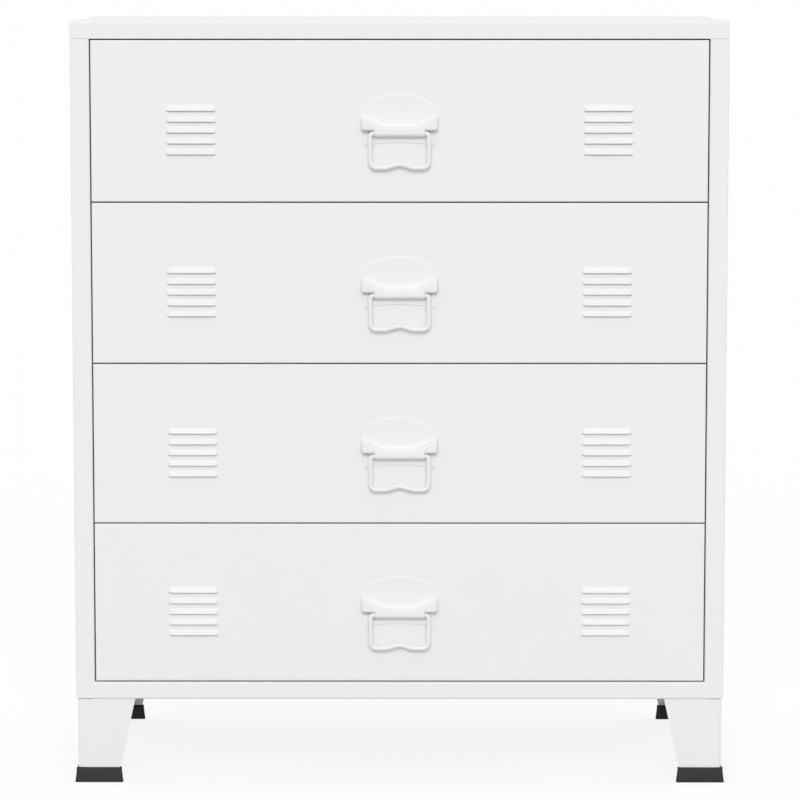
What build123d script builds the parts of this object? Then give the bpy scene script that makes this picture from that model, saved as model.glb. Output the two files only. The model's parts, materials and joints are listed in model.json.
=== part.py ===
from build123d import *
from math import atan2, ceil, cos, degrees, hypot, radians, tan
import os

# Steel drawer cabinet: a folded sheet body on four angle legs, with drawers that run on nylon rollers.
# Millimetres. X to the viewer's right, Y to the back, Z up. The origin is on the floor, in the middle.

# Body
BODY_WIDTH = 780
BODY_DEPTH = 386
BODY_HEIGHT = 813
STILE_WIDTH = 22.8
STILE_RETURN = 38
TOP_SKIRT = 20.75
TOP_LIP = 24
BOTTOM_RAIL = 20.75
RAIL_RETURN = 20
REAR_UPSTAND = 20
SHEET = 0.8
BEND = 2
POST_WIDTH = 40
POST_FLANGE = 12
WALL_HOLE = 8
WALL_HOLE_SPACING = 600
WALL_HOLE_DROP = 60

# Legs and their caps
LEG_HEIGHT = 102
LEG_INSET = 1.9
LEG_TOP_WIDTH = 69
LEG_FOOT_WIDTH = 50.5
LEG_SHEET = 1.5
LEG_BEND = 4
FLANGE_CORNER = 34
CAP_HEIGHT = 18
CAP_FLOOR = 3
CAP_WALL = 2
CAP_FLARE = 1.8
CAP_TIP = 1.8
CAP_INNER_CORNER = 8
CAP_FIT = 0.15

# Fasteners
BOLT = 8
BOLT_FLATS = 13
BOLT_HEAD = 5.3
NUT_HEIGHT = 6.5
BOLT_ALONG = 46
BOLT_ACROSS = 11
SCREW = 4
SCREW_FLATS = 7
SCREW_HEAD = 1.8
SCREW_GRIP = 6
SCREW_ROWS = 3
SCREW_END = 60
HOLE_FIT = 0.3
ROD_SIDES = 8

# Drawers
DRAWER_COUNT = 4
GAP = 1.5
FRONT_SHEET = 1
FRONT_DEPTH = 18
FRONT_BEND = 1.5
TRAY_TAIL = 36
TRAY_LOW = 12
TRAY_HEIGHT = 138
TRAY_HEM = 8
TRAY_FLANGE = 12
WELD_FLANGE = 8

# Louvres
LOUVRE_COUNT = 5
LOUVRE_PITCH = 12.9
LOUVRE_LOW = 55.65
LOUVRE_CENTRE = 247.3
LOUVRE_WIDTH = 60
LOUVRE_HEIGHT = 7
LOUVRE_OUT = 3.2
LOUVRE_TAPER = 4

# Roller runners
RAIL_SHEET = 1
RAIL_DEPTH = 11.5
RAIL_SETBACK = 22
RAIL_TAIL = 34
RAIL_LOW = 40
RUNNER_SPACE = 14.2
ROLLER_RADIUS = 10
ROLLER_WIDTH = 7
ROLLER_SIDES = 14
AXLE_RADIUS = 2.5
AXLE_HEAD_RADIUS = 4.5
AXLE_HEAD = 0.8
FRONT_AXLE = 11
RUN_CLEARANCE = 0.3
SLIDE_CLEARANCE = 1
STOP_DEPTH = 5
STOP_GAP = 12.4
DRAWER_RAIL_DROP = 19

# Handle, with heights counted from the bail's pivot
HANDLE_HEIGHT = 81.55
HANDLE_SHEET = 1.2
HANDLE_OUT = 10.5
PLATE_TOP = 45.5
PLATE_HALF = 46
PLATE_SHOULDER = 29.4
PLATE_ROUND = 16
PLATE_FOOT_HALF = 43
PLATE_FOOT = -15.1
PLATE_FOOT_RISE = 3.6
HOOD_HALF = 45.3
HOOD_MID_HALF = 17
HOOD_BOTTOM = 3.1
WING_ROOT = 21.1
MID_ROOT = 12.7
HOOD_SLOPE = 5.4
CURL_HALF = 30.1
CURL_TURN = 250
WIRE = 5.5
WIRE_CLEARANCE = 0.3
WIRE_SIDES = 8
CHORD_ANGLE = 30
BAIL_ARM = 34.75
BAIL_DROP = 43.3
BAIL_PIN = 18
BAIL_TOP_ROUND = 4.6
BAIL_CORNER = 7
WAVE_RISE = 4.6
WAVE_SLOPE = 27
WAVE_ROUND = 14

# Places worked out from the sizes above
CURL_RADIUS = WIRE / 2 + WIRE_CLEARANCE + HANDLE_SHEET
CAP_REACH = CAP_WALL + CAP_FLARE - LEG_INSET
REAR_REACH = max(CAP_REACH, SCREW_HEAD)
HALF_WIDTH = BODY_WIDTH / 2
FRONT = -BODY_DEPTH / 2 + (HANDLE_OUT - REAR_REACH) / 2
BACK = FRONT + BODY_DEPTH
MIDDLE = (FRONT + BACK) / 2
BODY_TOP = LEG_HEIGHT + BODY_HEIGHT
SKIRT_LOW = BODY_TOP - TOP_SKIRT
FLOOR_TOP = LEG_HEIGHT + SHEET
RAIL_TOP = LEG_HEIGHT + BOTTOM_RAIL
STILE_INNER = HALF_WIDTH - STILE_WIDTH
PANEL_HALF = HALF_WIDTH - BEND
DRAWER_PITCH = (SKIRT_LOW - RAIL_TOP - GAP) / DRAWER_COUNT
FRONT_HEIGHT = DRAWER_PITCH - GAP
FRONT_HALF = STILE_INNER - GAP
TRAY_HALF = STILE_INNER - RUNNER_SPACE
TRAY_BACK = BACK - TRAY_TAIL
BAIL_OUT = HANDLE_OUT - CURL_RADIUS

# Runner levels above the drawer front's lower edge, and runner places along X and Y
TRACK = RAIL_LOW + RAIL_SHEET
REAR_AXLE_LEVEL = TRACK + RUN_CLEARANCE + ROLLER_RADIUS
CHANNEL_ROOF = REAR_AXLE_LEVEL + ROLLER_RADIUS + RUN_CLEARANCE
RAIL_HIGH = CHANNEL_ROOF + RAIL_SHEET
DRAWER_FLANGE = RAIL_HIGH + SLIDE_CLEARANCE
FRONT_AXLE_LEVEL = DRAWER_FLANGE - RUN_CLEARANCE - ROLLER_RADIUS
RAIL_FRONT = FRONT + RAIL_SETBACK
RAIL_BACK = BACK - RAIL_TAIL
RAIL_TIP = STILE_INNER - RAIL_DEPTH
WEB_FACE = STILE_INNER - RAIL_SHEET
DRAWER_WEB = TRAY_HALF + RAIL_SHEET
ROLLER_MIDDLE = (RAIL_TIP + WEB_FACE) / 2 - RAIL_SHEET / 2
ROLLER_INNER = ROLLER_MIDDLE - ROLLER_WIDTH / 2
ROLLER_OUTER = ROLLER_MIDDLE + ROLLER_WIDTH / 2
FRONT_AXLE_PLACE = RAIL_FRONT + FRONT_AXLE
REAR_AXLE_PLACE = RAIL_BACK - RAIL_SHEET - RUN_CLEARANCE - ROLLER_RADIUS
STOP_PLACE = FRONT_AXLE_PLACE + ROLLER_RADIUS + STOP_GAP
DRAWER_TRAVEL = REAR_AXLE_PLACE - ROLLER_RADIUS - RUN_CLEARANCE - STOP_PLACE


def drawer_base(number):
    """Height of a drawer front's lower edge. Drawer 1 is at the top."""
    return RAIL_TOP + GAP + (DRAWER_COUNT - number) * DRAWER_PITCH


def block(x0, x1, y0, y1, z0, z1):
    """A box between two corners."""
    centre = Pos((x0 + x1) / 2, (y0 + y1) / 2, (z0 + z1) / 2)
    return centre * Box(x1 - x0, y1 - y0, z1 - z0)


def fold(points, plane, length, sheet=SHEET, bend=0):
    """Folded sheet: an open outline, thickened to the left of its way, pushed out along the plane."""
    outline = FilletPolyline(*points, radius=bend) if bend else Polyline(*points)
    section = make_face(offset(outline, amount=sheet, side=Side.LEFT, kind=Kind.INTERSECTION))
    return extrude(plane * section, length)


def section_at(y):
    """Upright plane across the cabinet, with X and Z in it, facing the back."""
    return Plane(origin=(0, y, 0), x_dir=(1, 0, 0), z_dir=(0, -1, 0))


def rod_x(x0, x1, radius, y, z, sides=ROD_SIDES):
    """A round bar along X, drawn with flat sides that lie within the round."""
    return extrude(Plane.YZ.offset(x0) * Pos(y, z) * RegularPolygon(radius, sides), x1 - x0)


def rod_z(z0, z1, radius, x, y):
    """A round bar along Z, drawn with flat sides that lie within the round."""
    return extrude(Pos(x, y, z0) * RegularPolygon(radius, ROD_SIDES), z1 - z0)


def hole_bar(radius, length):
    """A bar along Z that cuts a round hole, drawn with flat sides that lie outside the round."""
    return extrude(RegularPolygon(radius, ROD_SIDES, major_radius=False), length / 2, both=True)


def sided(part, side):
    """The part as drawn for the right, or its mirror image on the left."""
    return part if side == "right" else mirror(part, about=Plane.YZ)


def cornered(part, end, side):
    """The part as drawn for the front left corner, mirrored to another corner."""
    if side == "right":
        part = mirror(part, about=Plane.YZ)
    if end == "rear":
        part = mirror(part, about=Plane.XZ.offset(-MIDDLE))
    return part


# Body panels


def screw_spots():
    """Places of the back panel's screws on the right, as X and Z."""
    low = FLOOR_TOP + SCREW_END
    step = (SKIRT_LOW - SCREW_END - low) / (SCREW_ROWS - 1)
    return [(HALF_WIDTH - STILE_WIDTH / 2, low + row * step) for row in range(SCREW_ROWS)]


def screw_holes():
    """Bars that cut the screw holes on the right."""
    bar = Rot(90, 0, 0) * hole_bar(SCREW / 2 + HOLE_FIT, STILE_RETURN)
    return [Pos(x, BACK, z) * bar for x, z in screw_spots()]


def side_panel(side):
    """Side wall with a front stile, the stile's return and a rear flange, folded from one sheet."""
    outline = [
        (STILE_INNER, FRONT + STILE_RETURN),
        (STILE_INNER, FRONT),
        (HALF_WIDTH, FRONT),
        (HALF_WIDTH, BACK),
        (STILE_INNER, BACK),
    ]
    panel = fold(outline, Plane.XY.offset(FLOOR_TOP), SKIRT_LOW - FLOOR_TOP, bend=BEND)
    return sided(panel - screw_holes(), side)


def inset_block(inset, z0, z1):
    """A block as large as the body's plan, less a margin all round."""
    half = HALF_WIDTH - inset
    return block(-half, half, FRONT + inset, BACK - inset, z0, z1)


def top_panel():
    """Cap with a skirt all round and a lip that lies on the panels below."""
    cap = inset_block(0, SKIRT_LOW, BODY_TOP)
    cap = fillet(cap.edges().group_by(Axis.Z)[-1], BEND)
    hollow = inset_block(SHEET, SKIRT_LOW + SHEET, BODY_TOP - SHEET)
    mouth = inset_block(TOP_LIP, SKIRT_LOW, SKIRT_LOW + SHEET)
    return cap - hollow - mouth


def bottom_panel():
    """Floor with the front rail folded up from it, and an upstand along the back panel."""
    rear = BACK - 2 * SHEET
    outline = [
        (FRONT + RAIL_RETURN, RAIL_TOP),
        (FRONT, RAIL_TOP),
        (FRONT, LEG_HEIGHT),
        (rear, LEG_HEIGHT),
        (rear, LEG_HEIGHT + REAR_UPSTAND),
    ]
    panel = fold(outline, Plane.YZ.offset(-PANEL_HALF), 2 * PANEL_HALF, bend=BEND)
    for x0, x1 in ((-HALF_WIDTH, -STILE_INNER), (STILE_INNER, HALF_WIDTH)):
        panel -= block(x0, x1, FRONT, FRONT + STILE_RETURN, FLOOR_TOP, RAIL_TOP)
        panel -= block(x0, x1, FRONT, FRONT + BEND, LEG_HEIGHT, FLOOR_TOP)
    return panel - bolt_holes()


def back_panel():
    """Flat sheet inside the rear flanges, with two holes to fix the cabinet to a wall."""
    panel = block(-PANEL_HALF, PANEL_HALF, BACK - 2 * SHEET, BACK - SHEET, FLOOR_TOP, SKIRT_LOW)
    for side in ("left", "right"):
        panel -= [sided(hole, side) for hole in screw_holes()]
    wall_hole = Rot(90, 0, 0) * Cylinder(WALL_HOLE / 2, STILE_RETURN)
    for x in (-WALL_HOLE_SPACING / 2, WALL_HOLE_SPACING / 2):
        panel -= Pos(x, BACK, SKIRT_LOW - WALL_HOLE_DROP) * wall_hole
    return panel


def runner_post(side):
    """Upright channel on the side wall that carries the rear ends of the runners."""
    wall = HALF_WIDTH - SHEET
    crown = STILE_INNER + SHEET
    rear = RAIL_BACK
    front = rear - POST_WIDTH
    outline = [
        (wall, front - POST_FLANGE),
        (wall, front),
        (crown, front),
        (crown, rear),
        (wall, rear),
        (wall, rear + POST_FLANGE),
    ]
    return sided(fold(outline, Plane.XY.offset(FLOOR_TOP), SKIRT_LOW - FLOOR_TOP), side)


# Legs, drawn for the front left corner


LEG_X = -HALF_WIDTH + LEG_INSET
LEG_Y = FRONT + LEG_INSET


def bolt_spots():
    """The two bolts of the front left leg, as X and Y."""
    return [(LEG_X + BOLT_ALONG, LEG_Y + BOLT_ACROSS), (LEG_X + BOLT_ACROSS, LEG_Y + BOLT_ALONG)]


def corners():
    """Every leg corner, as its end and side."""
    return [(end, side) for end in ("front", "rear") for side in ("left", "right")]


def bolt_holes():
    """Bars that cut the leg bolts' holes through the floor and the leg flanges."""
    bar = hole_bar(BOLT / 2 + HOLE_FIT, 2 * BOLT)
    bars = [Pos(x, y, LEG_HEIGHT) * bar for x, y in bolt_spots()]
    return [cornered(bar, end, side) for bar in bars for end, side in corners()]


def leg_angle(z0, z1, grow, width):
    """The leg's angle section, grown on all sides for a cap's pocket."""
    x = LEG_X - grow
    y = LEG_Y - grow
    reach = width + 2 * grow
    outline = [(x, y + reach), (x, y), (x + reach, y)]
    return fold(outline, Plane.XY.offset(z0), z1 - z0, LEG_SHEET + 2 * grow, LEG_BEND + grow)


def taper_cut(plane):
    """Wedge that narrows one web of a leg towards its cap."""
    shoulder = LEG_HEIGHT - LEG_SHEET
    outline = Polyline(
        (LEG_FOOT_WIDTH, 0),
        (LEG_FOOT_WIDTH, CAP_HEIGHT),
        (LEG_TOP_WIDTH, shoulder),
        (2 * LEG_TOP_WIDTH, shoulder),
        (2 * LEG_TOP_WIDTH, 0),
        close=True,
    )
    return extrude(plane * make_face(outline), LEG_TOP_WIDTH, both=True)


def leg(end, side):
    """Pressed angle leg whose webs narrow downward, with a bolting flange on top."""
    webs = leg_angle(CAP_FLOOR, LEG_HEIGHT, 0, LEG_TOP_WIDTH)
    webs -= taper_cut(Plane(origin=(LEG_X, LEG_Y, 0), x_dir=(1, 0, 0), z_dir=(0, -1, 0)))
    webs -= taper_cut(Plane(origin=(LEG_X, LEG_Y, 0), x_dir=(0, 1, 0), z_dir=(1, 0, 0)))
    flange = Pos(LEG_X, LEG_Y, LEG_HEIGHT - LEG_SHEET) * Box(
        LEG_TOP_WIDTH, LEG_TOP_WIDTH, LEG_SHEET, align=Align.MIN
    )
    upright = flange.edges().filter_by(Axis.Z).sort_by(Axis((0, 0, 0), (1, 1, 0)))
    flange = fillet(upright[0], LEG_BEND)
    upright = flange.edges().filter_by(Axis.Z).sort_by(Axis((0, 0, 0), (1, 1, 0)))
    flange = chamfer(upright[-1], FLANGE_CORNER)
    return cornered(webs + flange - bolt_holes(), end, side)


def foot_cap(end, side):
    """Flared plastic cap with a filled inner corner and a pocket that takes the end of the leg."""
    outer = -CAP_WALL - CAP_FLARE
    inner = LEG_SHEET + CAP_WALL + CAP_FLARE
    reach = LEG_FOOT_WIDTH + CAP_TIP + CAP_FLARE
    outline = Polyline(
        (outer, outer),
        (reach, outer),
        (reach, inner),
        (inner + CAP_INNER_CORNER, inner),
        (inner, inner + CAP_INNER_CORNER),
        (inner, reach),
        (outer, reach),
        close=True,
    )
    cap = extrude(make_face(outline), CAP_HEIGHT, taper=degrees(atan2(CAP_FLARE, CAP_HEIGHT)))
    pocket = leg_angle(CAP_FLOOR, CAP_HEIGHT, CAP_FIT, LEG_FOOT_WIDTH)
    return cornered(Pos(LEG_X, LEG_Y) * cap - pocket, end, side)


def hex_bar(flats, z0, z1, x, y):
    """Six-sided bar along Z, given across its flats."""
    section = RegularPolygon(flats / 2, 6, major_radius=False)
    return extrude(Pos(x, y, z0) * section, z1 - z0)


def leg_bolts():
    """Every leg bolt with its nut, as separate solids."""
    under = LEG_HEIGHT - LEG_SHEET
    bolts = []
    for x, y in bolt_spots():
        bolt = hex_bar(BOLT_FLATS, under - BOLT_HEAD, under, x, y)
        bolt += rod_z(under - BOLT_HEAD, FLOOR_TOP + NUT_HEIGHT, BOLT / 2, x, y)
        bolt += hex_bar(BOLT_FLATS, FLOOR_TOP, FLOOR_TOP + NUT_HEIGHT, x, y)
        bolts += [cornered(bolt, end, side) for end, side in corners()]
    return Compound(children=bolts)


def panel_screws():
    """Every screw of the back panel, as separate solids."""
    screw = hex_bar(SCREW_FLATS, 0, SCREW_HEAD, 0, 0)
    screw += rod_z(-SCREW_GRIP, SCREW_HEAD, SCREW / 2, 0, 0)
    outward = Rot(-90, 0, 0) * screw
    right = [Pos(x, BACK, z) * outward for x, z in screw_spots()]
    return Compound(children=right + [sided(screw, "left") for screw in right])


# Roller runners, drawn for the right


def cabinet_rail(number, side):
    """Fixed rail: a channel with an axle at the front, an end stop behind and a turned-down out stop."""
    base = drawer_base(number)
    outline = [
        (RAIL_TIP, base + RAIL_LOW),
        (STILE_INNER, base + RAIL_LOW),
        (STILE_INNER, base + RAIL_HIGH),
        (RAIL_TIP, base + RAIL_HIGH),
    ]
    rail = fold(outline, section_at(RAIL_FRONT), RAIL_FRONT - RAIL_BACK, RAIL_SHEET)
    roof = base + CHANNEL_ROOF
    high = base + RAIL_HIGH
    rail -= block(RAIL_TIP, WEB_FACE, RAIL_FRONT, STOP_PLACE - RAIL_SHEET, roof, high)
    rail += block(RAIL_TIP, WEB_FACE, STOP_PLACE - RAIL_SHEET, STOP_PLACE, roof - STOP_DEPTH, high)
    rail += block(RAIL_TIP, WEB_FACE, RAIL_BACK - RAIL_SHEET, RAIL_BACK, base + RAIL_LOW, high)
    rail += axle(WEB_FACE, ROLLER_OUTER, ROLLER_INNER, FRONT_AXLE_PLACE, base + FRONT_AXLE_LEVEL)
    return sided(rail, side)


def axle(web, near, far, y, z):
    """Roller axle riveted in a rail's web, with a spacer on the near side and a head on the far side."""
    way = 1 if far > near else -1
    gap = RUN_CLEARANCE * way
    head_end = far + gap + AXLE_HEAD * way
    spacer = rod_x(*sorted((web, near - gap)), AXLE_HEAD_RADIUS, y, z)
    pin = rod_x(*sorted((web, head_end)), AXLE_RADIUS, y, z)
    head = rod_x(*sorted((far + gap, head_end)), AXLE_HEAD_RADIUS, y, z)
    return spacer + pin + head


def rollers(y, z):
    """The left and right rollers of one drawer, which share an axis."""
    tyre = rod_x(ROLLER_INNER, ROLLER_OUTER, ROLLER_RADIUS, y, z, ROLLER_SIDES)
    bore = Rot(0, 90, 0) * hole_bar(AXLE_RADIUS + RUN_CLEARANCE, 2 * ROLLER_WIDTH)
    roller = tyre - Pos(ROLLER_MIDDLE, y, z) * bore
    return Compound(children=[roller, sided(roller, "left")])


def cabinet_rollers(number):
    """Front rollers, which turn on the cabinet under the drawer's rails."""
    return rollers(FRONT_AXLE_PLACE, drawer_base(number) + FRONT_AXLE_LEVEL)


def drawer_rollers(number):
    """Rear rollers, which turn on the drawer and run in the cabinet's channels."""
    return rollers(REAR_AXLE_PLACE, drawer_base(number) + REAR_AXLE_LEVEL)


def drawer_rail(number, side):
    """Moving rail: an angle on the tray's side whose flange runs on the front roller."""
    base = drawer_base(number)
    high = base + DRAWER_FLANGE + RAIL_SHEET
    outline = [
        (WEB_FACE - SLIDE_CLEARANCE, high),
        (TRAY_HALF, high),
        (TRAY_HALF, high - DRAWER_RAIL_DROP),
    ]
    start = FRONT + FRONT_DEPTH + SLIDE_CLEARANCE
    rail = fold(outline, section_at(start), start - TRAY_BACK, RAIL_SHEET)
    rail += axle(DRAWER_WEB, ROLLER_INNER, ROLLER_OUTER, REAR_AXLE_PLACE, base + REAR_AXLE_LEVEL)
    return sided(rail, side)


# Drawers, drawn with the front's lower edge at zero height


def front_block(inset):
    """The drawer front's outer block, or its hollow."""
    half = FRONT_HALF - inset
    return block(-half, half, FRONT + inset, FRONT + FRONT_DEPTH, inset, FRONT_HEIGHT - inset)


def louvre_hood(x, z):
    """A louvre's outer form: it slopes out downward and its ends taper."""
    hood = Wedge(
        LOUVRE_WIDTH,
        LOUVRE_OUT,
        LOUVRE_HEIGHT,
        LOUVRE_TAPER,
        0,
        LOUVRE_WIDTH - LOUVRE_TAPER,
        0,
        align=(Align.CENTER, Align.MIN, Align.MIN),
    )
    return Pos(x, FRONT, z) * mirror(hood, about=Plane.XZ)


def drawer_front(number):
    """Folded front with two sets of louvres, each open on its underside."""
    hoods = [
        louvre_hood(x, LOUVRE_LOW + row * LOUVRE_PITCH)
        for x in (-LOUVRE_CENTRE, LOUVRE_CENTRE)
        for row in range(LOUVRE_COUNT)
    ]
    throats = [Pos(0, FRONT_SHEET, 0) * hood for hood in hoods]
    pan = front_block(0)
    pan = fillet(pan.edges().group_by(Axis.Y)[0], FRONT_BEND) - front_block(FRONT_SHEET)
    front = pan + hoods - throats
    return Pos(0, 0, drawer_base(number)) * front


def drawer_tray(number):
    """Folded tray with hemmed edges, welded by its flanges behind the front."""
    top = TRAY_LOW + TRAY_HEIGHT
    start = FRONT + FRONT_SHEET
    outline = [
        (TRAY_HEM - TRAY_HALF, top),
        (-TRAY_HALF, top),
        (-TRAY_HALF, TRAY_LOW),
        (TRAY_HALF, TRAY_LOW),
        (TRAY_HALF, top),
        (TRAY_HALF - TRAY_HEM, top),
    ]
    tray = fold(outline, section_at(start), start - TRAY_BACK)
    inner = TRAY_HALF - SHEET
    tray += block(-inner, inner, TRAY_BACK - SHEET, TRAY_BACK, TRAY_LOW + BEND, top)
    tray += block(-inner, inner, TRAY_BACK - TRAY_HEM, TRAY_BACK, top - SHEET, top)
    for x0, x1 in ((-inner, TRAY_FLANGE - TRAY_HALF), (TRAY_HALF - TRAY_FLANGE, inner)):
        tray += block(x0, x1, start, start + SHEET, TRAY_LOW + BEND, top - BEND)
    flat = TRAY_HALF - BEND
    tray += block(-flat, flat, TRAY_BACK - SHEET, TRAY_BACK, TRAY_LOW, TRAY_LOW + BEND)
    tray += block(-flat, flat, start, start + SHEET, TRAY_LOW - WELD_FLANGE, TRAY_LOW + SHEET)
    return Pos(0, 0, drawer_base(number)) * tray


# Handle, drawn about the bail's pivot line on the front's face


def hood(inset):
    """The pressed-out hood, or its hollow: its top edge dips between two wings and slopes outward."""
    half = HOOD_HALF - inset
    wing = WING_ROOT - inset
    middle = MID_ROOT - inset
    outline = Polyline(
        (-half, HOOD_BOTTOM),
        (half, HOOD_BOTTOM),
        (half, wing),
        (HOOD_MID_HALF, middle),
        (-HOOD_MID_HALF, middle),
        (-half, wing),
        close=True,
    )
    out = HANDLE_OUT - inset
    drop = HOOD_SLOPE * out / HANDLE_OUT
    slanted = extrude(Plane.XZ * make_face(outline), hypot(out, drop), dir=(0, -out, -drop))
    return slanted - block(-HOOD_HALF, HOOD_HALF, -HANDLE_OUT, 0, HOOD_BOTTOM - HOOD_SLOPE, HOOD_BOTTOM)


def curl():
    """The hood's lower lip, rolled inward round the bail's pins."""
    inner = CURL_RADIUS - HANDLE_SHEET
    centre = (-BAIL_OUT, 0)
    outside = CenterArc(centre, CURL_RADIUS, 180, CURL_TURN)
    inside = CenterArc(centre, inner, 180, CURL_TURN)
    lip = Polyline(
        outside @ 0,
        (-HANDLE_OUT, HOOD_BOTTOM),
        (HANDLE_SHEET - HANDLE_OUT, HOOD_BOTTOM),
        inside @ 0,
    )
    section = make_face([outside, lip, inside, Line(inside @ 1, outside @ 1)])
    return extrude(Plane.YZ * section, CURL_HALF, both=True)


def handle_plate(number):
    """Pressed plate, round on top, with the hood and the curl that hold the bail."""
    left = (-PLATE_HALF, PLATE_SHOULDER)
    right = (PLATE_HALF, PLATE_SHOULDER)
    arch = ThreePointArc(right, (0, PLATE_TOP), left)
    foot = ThreePointArc(
        (-PLATE_FOOT_HALF, PLATE_FOOT),
        (0, PLATE_FOOT + PLATE_FOOT_RISE),
        (PLATE_FOOT_HALF, PLATE_FOOT),
    )
    edge = [arch, Line(arch @ 1, foot @ 0), foot, Line(foot @ 1, arch @ 0)]
    face = make_face(edge)
    shoulders = [face.vertices().sort_by_distance(corner)[0] for corner in (left, right)]
    plate = extrude(Plane.XZ * fillet(shoulders, PLATE_ROUND), HANDLE_SHEET)
    plate = plate + hood(0) - hood(HANDLE_SHEET) + curl()
    return Pos(0, FRONT, drawer_base(number) + HANDLE_HEIGHT) * plate


def handle_bail(number):
    """Bent wire bail: its ends turn into the curl, and its grip rises in a wave in the middle."""
    slope = radians(WAVE_SLOPE)
    knee = (WAVE_RISE + WAVE_ROUND / cos(slope) - WAVE_ROUND) / tan(slope)
    crown = knee * tan(slope) - BAIL_DROP
    half = [(-BAIL_PIN, 0), (-BAIL_ARM, 0), (-BAIL_ARM, -BAIL_DROP), (-knee, -BAIL_DROP)]
    points = half + [(0, crown)] + [(-x, z) for x, z in reversed(half)]
    rounds = [BAIL_TOP_ROUND, BAIL_CORNER, WAVE_ROUND]
    path = FilletPolyline(*points, radius=rounds + [WAVE_ROUND] + rounds[::-1])
    bail = section_at(-BAIL_OUT) * wire_along(path)
    return Pos(0, FRONT, drawer_base(number) + HANDLE_HEIGHT) * bail


def wire_along(path):
    """Round wire along straight runs and arcs, drawn with flat sides and a few chords to each arc."""
    points = [path @ 0]
    for edge in path.edges():
        chords = 1
        if edge.geom_type == GeomType.CIRCLE:
            chords = ceil(edge.length / edge.radius / radians(CHORD_ANGLE))
        points += [edge @ (chord / chords) for chord in range(1, chords + 1)]
    chain = Polyline(*points)
    start = Plane(origin=chain @ 0, x_dir=(0, 0, 1), z_dir=chain % 0)
    return sweep(start * RegularPolygon(WIRE / 2, WIRE_SIDES), chain, transition=Transition.RIGHT)


def cabinet_pieces():
    """Every fixed piece, by name."""
    pieces = {
        "top_panel": top_panel(),
        "bottom_panel": bottom_panel(),
        "back_panel": back_panel(),
        "leg_bolts": leg_bolts(),
        "panel_screws": panel_screws(),
    }
    for side in ("left", "right"):
        pieces[f"side_panel_{side}"] = side_panel(side)
        pieces[f"runner_post_{side}"] = runner_post(side)
    for end, side in corners():
        pieces[f"leg_{end}_{side}"] = leg(end, side)
        pieces[f"foot_cap_{end}_{side}"] = foot_cap(end, side)
    return pieces


def drawer_pieces(number):
    """Every piece of one drawer and its runners, by name."""
    pieces = {
        f"drawer_front_{number}": drawer_front(number),
        f"drawer_tray_{number}": drawer_tray(number),
        f"handle_plate_{number}": handle_plate(number),
        f"handle_bail_{number}": handle_bail(number),
        f"cabinet_rollers_{number}": cabinet_rollers(number),
        f"drawer_rollers_{number}": drawer_rollers(number),
    }
    for side in ("left", "right"):
        pieces[f"cabinet_rail_{side}_{number}"] = cabinet_rail(number, side)
        pieces[f"drawer_rail_{side}_{number}"] = drawer_rail(number, side)
    return pieces


def main():
    os.makedirs("parts", exist_ok=True)
    pieces = cabinet_pieces()
    for number in range(1, DRAWER_COUNT + 1):
        pieces.update(drawer_pieces(number))
    for name, piece in pieces.items():
        export_step(piece, f"parts/{name}.step")
    print(len(pieces), "pieces, with a drawer travel of", round(DRAWER_TRAVEL, 1), "mm")


main()
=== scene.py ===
"""Looks of the drawer cabinet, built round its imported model. Metres, in the model's own frame."""

import json
import math

import bmesh
import bpy
from mathutils import Matrix, Vector


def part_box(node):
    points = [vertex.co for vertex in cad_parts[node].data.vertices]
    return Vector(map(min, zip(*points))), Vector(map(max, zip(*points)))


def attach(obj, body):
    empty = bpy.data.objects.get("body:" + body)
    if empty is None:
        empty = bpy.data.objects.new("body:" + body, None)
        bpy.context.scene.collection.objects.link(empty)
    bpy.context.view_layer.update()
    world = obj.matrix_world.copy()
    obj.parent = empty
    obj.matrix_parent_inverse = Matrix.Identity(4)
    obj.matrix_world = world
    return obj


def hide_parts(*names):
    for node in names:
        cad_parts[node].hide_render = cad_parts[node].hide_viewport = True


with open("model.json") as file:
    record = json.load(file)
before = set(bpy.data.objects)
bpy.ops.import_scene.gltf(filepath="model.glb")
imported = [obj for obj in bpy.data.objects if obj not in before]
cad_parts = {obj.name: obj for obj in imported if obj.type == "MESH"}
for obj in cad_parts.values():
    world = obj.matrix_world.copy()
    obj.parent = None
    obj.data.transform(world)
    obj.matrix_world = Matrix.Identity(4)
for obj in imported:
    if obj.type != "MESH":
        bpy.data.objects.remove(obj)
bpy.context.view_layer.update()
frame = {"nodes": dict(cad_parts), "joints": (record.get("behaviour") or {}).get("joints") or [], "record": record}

MM = 0.001
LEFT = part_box("side_panel_left")[0].x
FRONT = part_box("side_panel_left")[0].y
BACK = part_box("side_panel_left")[1].y
DRAWERS = range(1, 5)
SIDES = ("left", "right")
JOINTS = {joint["name"]: joint for joint in frame["joints"]}
BASES = {n: Vector((0, FRONT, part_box(f"drawer_front_{n}")[0].z)) for n in DRAWERS}
ARC_STEPS = 6
BEND_STEPS = 5
GUARD = 0.5 * MM
SHARP_FOLD = math.radians(40)

# Top panel
TOP_SHEET = 0.8 * MM
TOP_LIP = 24 * MM
TOP_BEND = 2 * MM
SKIRT_BEND = 0.9 * MM
TOP_CORNER = 1.6 * MM

# Bottom panel
PANEL_SHEET = 0.8 * MM
PANEL_BEND = 2 * MM
STILE_INNER = 367.2 * MM
SILL_RETURN = 20 * MM
REAR_UPSTAND = 20 * MM
SILL_GROOVE = 8 * MM

# Foot caps, drawn from the leg's outer corner
LEG_INSET = 1.9 * MM
CAP_HEIGHT = 18 * MM
CAP_FLARE = 2.4 * MM
CAP_OUTER = -3.8 * MM
CAP_INNER = 5.3 * MM
CAP_REACH = 54.1 * MM
CAP_FILL = 8 * MM
CAP_CORNER = 1.8 * MM
CAP_EDGE = 0.5 * MM

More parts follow.
